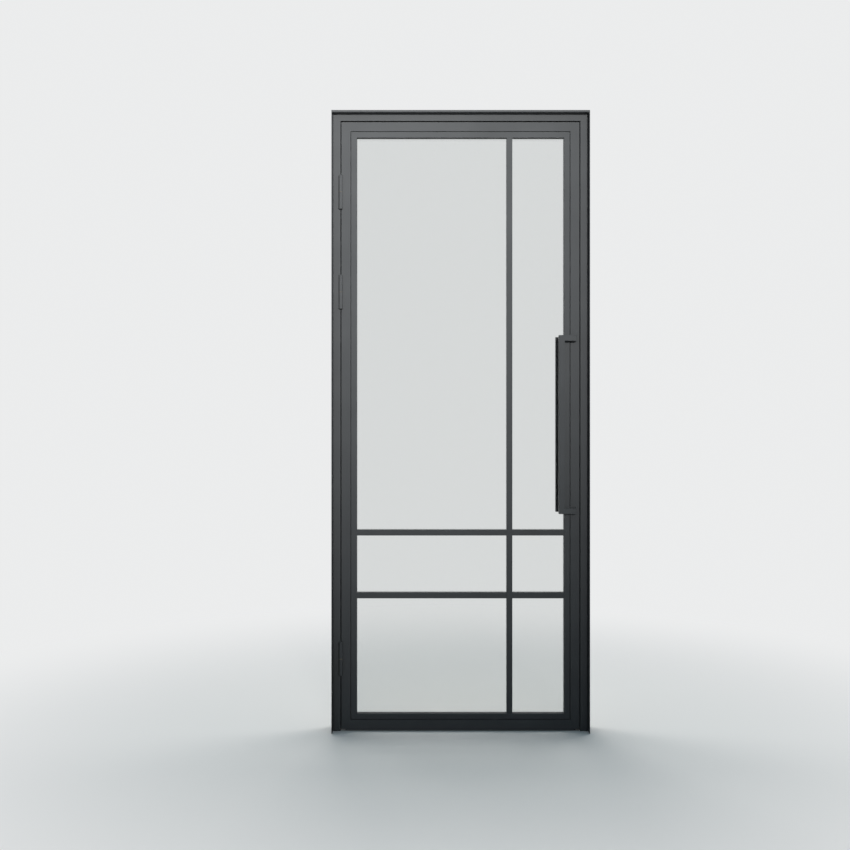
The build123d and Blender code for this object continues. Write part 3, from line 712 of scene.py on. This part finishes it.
# %% Turn an outline
SOCKET_LOBES = 6


def whole_turn(count):
    """Evenly spaced angles of one turn, without the last, which would repeat the first."""
    return np.linspace(0, 2 * np.pi, count, endpoint=False)


def lobed_radius(outline, angle):
    """The radius of each ring of an outline at the angles a: r + lobe * cos(6 a)."""
    return outline[:, :1] + outline[:, 2:] * np.cos(SOCKET_LOBES * angle)


def turned(radius, height, angle):
    """Points (radius * cos a, radius * sin a, height), with one row for each ring."""
    radius, height, angle = np.broadcast_arrays(radius, height, angle)
    return np.stack([radius * np.cos(angle), radius * np.sin(angle), height], axis=-1)


print("one ring in 8 points:", turned(1.0, 0.0, whole_turn(8)).shape)


# %% Copies of a turned part
def facing_along_x(sign):
    """Rows that say where a turned part's own x, y and z point when its front faces x."""
    return np.array([(0, 1, 0), (0, 0, sign), (sign, 0, 0)])


FACING_UP = np.eye(3)
FACING_DOWN = np.array([(1, 0, 0), (0, -1, 0), (0, 0, -1)])


def copy_points(surface, rows, places):
    """The points of a copy at each place, and the number of each copy's first point.

    A point of a copy is the copy's place plus the part's own x, y and z times the rows.
    """
    local = surface.reshape(-1, 3) @ rows
    points = (np.asarray(places)[:, None, :] + local).reshape(-1, 3)
    return points, np.arange(len(places)) * len(local)


def turned_copies(name, surface, rows, places, body, slot_name, replaced):
    """Copies of a turned part at places, each closed by a flat face at both ends."""
    rings, angles = surface.shape[:2]
    points, first_points = copy_points(surface, rows, places)
    walls = grid_faces(rings, angles, False, True)[:, ::-1] + first_points[:, None, None]
    fronts = np.arange(angles) + first_points[:, None]
    backs = fronts[:, ::-1] + (rings - 1) * angles
    faces = walls.reshape(-1, 4).tolist() + fronts.tolist() + backs.tolist()
    make_piece(name, points, faces, body, slot_name, replaced)


print("a front that looked up looks along", facing_along_x(1)[2], "or down")

# %% [markdown]
# ## Screws
# The hinge wings and the strip under the leaf are held by the same countersunk screws. One
# screw has a flat head with a broken edge, a cone and a threaded shank. Its thread is one
# more wave on the radius, which climbs by one pitch in each turn.

# %% Screw sizes
HEAD_RADIUS, SHANK_RADIUS, SCREW_LENGTH = 0.0038, 0.0020, 0.010
EDGE_BREAK = 0.0002
SOCKET_RADIUS, SOCKET_FLOOR_RADIUS, SOCKET_DEPTH, LOBE = 0.00135, 0.001215, 0.0013, 0.00022
THREAD_DEPTH, THREAD_PITCH = 0.00028, 0.0007
TIP_RADIUS, TIP_LENGTH = 0.0013, 0.0006
SCREW_ANGLES, THREAD_RINGS = 48, 46
CONE_END = SHANK_RADIUS - HEAD_RADIUS
SCREW_HEAD = np.array(
    [
        (SOCKET_FLOOR_RADIUS, -SOCKET_DEPTH, LOBE),
        (SOCKET_RADIUS, -EDGE_BREAK / 2, LOBE),
        (SOCKET_RADIUS + EDGE_BREAK / 2, 0.0, LOBE),
        (HEAD_RADIUS - EDGE_BREAK, 0.0, 0.0),
        (HEAD_RADIUS - EDGE_BREAK / 4, -EDGE_BREAK / 3, 0.0),
        (HEAD_RADIUS - EDGE_BREAK / 3, -EDGE_BREAK, 0.0),
        (SHANK_RADIUS, CONE_END, 0.0),
    ]
)
print("thread:", int((SCREW_LENGTH - TIP_LENGTH + CONE_END) / THREAD_PITCH), "turns")


# %% One screw
def screw_surface():
    """Points of a screw whose head lies in the plane z = 0 and whose shank points down.

    The rings run from the socket's floor over its wall, the head, the edge, the cone and
    the shank to the tip. A thread of depth d gives a ring of the shank at a height z the
    radius r - d / 2 + d / 2 * cos(a - 2 pi z / pitch).
    """
    angle = whole_turn(SCREW_ANGLES)
    shank = np.linspace(CONE_END - EDGE_BREAK, TIP_LENGTH - SCREW_LENGTH, THREAD_RINGS)[:, None]
    wave = np.cos(angle - 2 * np.pi * shank / THREAD_PITCH)
    shank_radius = SHANK_RADIUS - THREAD_DEPTH / 2 + THREAD_DEPTH / 2 * wave
    tip_radius = np.full((1, SCREW_ANGLES), TIP_RADIUS)
    radius = np.concatenate([lobed_radius(SCREW_HEAD, angle), shank_radius, tip_radius])
    height = np.concatenate([SCREW_HEAD[:, 1:2], shank, [[-SCREW_LENGTH]]])
    return turned(radius, height, angle)


screw = screw_surface()
print("one screw:", screw.shape[0], "rings of", screw.shape[1], "points")

# %% All screws
HINGE_HEIGHTS = (1.878, 1.530, 0.254)
SCREW_DROPS = (-0.042, 0.0, 0.042)
SCREW_Y = -0.0023
FRAME_WING_X, LEAF_WING_X = -0.417, -0.416
STRIP_SCREW_X = (-0.280, 0.0, 0.280)
STRIP_SCREW_Y, STRIP_UNDERSIDE = -0.008, 0.0035

screw_heights = np.add.outer(HINGE_HEIGHTS, SCREW_DROPS).ravel()
for body, wing_x, sign in (("frame", FRAME_WING_X, 1), ("leaf", LEAF_WING_X, -1)):
    turned_copies(
        body + "_screws_turned", screw, facing_along_x(sign),
        [(wing_x, SCREW_Y, height) for height in screw_heights],
        body, "bright_steel", body + "_hinge_screws",
    )
turned_copies(
    "strip_screws_turned", screw, FACING_DOWN,
    [(x, STRIP_SCREW_Y, STRIP_UNDERSIDE) for x in STRIP_SCREW_X],
    "leaf", "zinc_steel", "floor_strip_screws",
)

# %% [markdown]
# ## The magnetic catch
# When the leaf is open, two bright discs show in the closing edge: a magnet in a flanged
# cup on the jamb, and a flanged keeper with its screw on the leaf. The discs share their
# flange and the wall behind it, and differ in the face and in how deep they sit. The last
# ring before the flange's rounding keeps the shading of the flat face flat.

# %% Catch sizes
CATCH_HEIGHT = 1.800
MAGNET_X, MAGNET_DEPTH = 0.418, 0.012
KEEPER_X, KEEPER_DEPTH = 0.415, 0.006
CUP_RADIUS, CATCH_CHAMFER = 0.009, 0.0005
KEEPER_SCREW_HEAD = 0.0004
CATCH_ANGLES = 96
FLANGE_OUTLINE = [
    (0.0101, 0.0008, 0.0),
    (0.0103, 0.0008, 0.0),
    (0.0107, 0.00072, 0.0),
    (0.01092, 0.0005, 0.0),
    (0.0110, 0.00022, 0.0),
    (0.0110, 0.0, 0.0),
    (CUP_RADIUS, 0.0, 0.0),
]
MAGNET_FACE = [
    (0.0058, 0.0006, 0.0),
    (0.0060, 0.0003, 0.0),
    (0.0060, 0.0, 0.0),
    (0.0070, 0.0, 0.0),
    (0.0071, 0.0006, 0.0),
    (0.0074, 0.0008, 0.0),
]
KEEPER_FACE = [
    (SOCKET_FLOOR_RADIUS, KEEPER_SCREW_HEAD - SOCKET_DEPTH, LOBE),
    (SOCKET_RADIUS, 0.0003, LOBE),
    (SOCKET_RADIUS + EDGE_BREAK, KEEPER_SCREW_HEAD, 0.0),
    (0.0036, KEEPER_SCREW_HEAD, 0.0),
    (0.0038, 0.0001, 0.0),
    (0.0040, 0.0001, 0.0),
    (0.0047, 0.0008, 0.0),
]
print("catch flange:", round(2000 * FLANGE_OUTLINE[-2][0]), "mm wide, at", CATCH_HEIGHT, "m")


# %% Turn the catch
def catch_disc(face, depth):
    """Points of a flanged disc: its face, the flange, the wall and a chamfered end."""
    end = [(CUP_RADIUS, CATCH_CHAMFER - depth, 0.0), (CUP_RADIUS - CATCH_CHAMFER, -depth, 0.0)]
    outline = np.array(face + FLANGE_OUTLINE + end)
    angle = whole_turn(CATCH_ANGLES)
    return turned(lobed_radius(outline, angle), outline[:, 1:2], angle)


for name, face, depth, x, sign, body in (
    ("catch_magnet", MAGNET_FACE, MAGNET_DEPTH, MAGNET_X, -1, "frame"),
    ("catch_keeper", KEEPER_FACE, KEEPER_DEPTH, KEEPER_X, 1, "leaf"),
):
    turned_copies(
        name + "_turned", catch_disc(face, depth), facing_along_x(sign),
        [(x, 0.0, CATCH_HEIGHT)], body, "catch_steel", name,
    )

# %% [markdown]
# ## Hinge washers
# The leaf's knuckles turn on thin brass washers, of which only the rim shows as a pale
# line. A sharp disc would catch no light on its edge, so the section is a superellipse: a
# rectangle whose corners are rounded by one exponent. Carried round the pin it makes a
# ring that closes on itself both ways, so it needs no end faces.

# %% Washers
PIN_X, PIN_Y = -0.4165, -0.026
WASHER_BORE, WASHER_RIM, WASHER_THICK = 0.00406, 0.0070, 0.001
CORNER_POWER = 0.3
SECTION_POINTS, WASHER_ANGLES = 28, 72


def rounded(wave):
    """A sine or cosine that stays near 1 and -1 for longer: sign(w) * |w| ** power."""
    return np.sign(wave) * np.abs(wave) ** CORNER_POWER


def washer_surface():
    """Points of a ring with a superellipse as its section.

    With u from 0 to 2 pi, the section is middle + half * rounded(cos u) across the ring
    and half the thickness * rounded(sin u) along the pin.
    """
    u = whole_turn(SECTION_POINTS) + np.pi / SECTION_POINTS
    middle, half = (WASHER_RIM + WASHER_BORE) / 2, (WASHER_RIM - WASHER_BORE) / 2
    radius = middle + half * rounded(np.cos(u))
    height = WASHER_THICK / 2 * rounded(np.sin(u))
    return turned(radius[:, None], height[:, None], whole_turn(WASHER_ANGLES))


places = [(PIN_X, PIN_Y, height) for height in HINGE_HEIGHTS]
points, first_points = copy_points(washer_surface(), FACING_UP, places)
faces = grid_faces(SECTION_POINTS, WASHER_ANGLES, True, True) + first_points[:, None, None]
make_piece(
    "washers_turned", points, faces.reshape(-1, 4), "frame", "washer_brass", "hinge_washers"
)
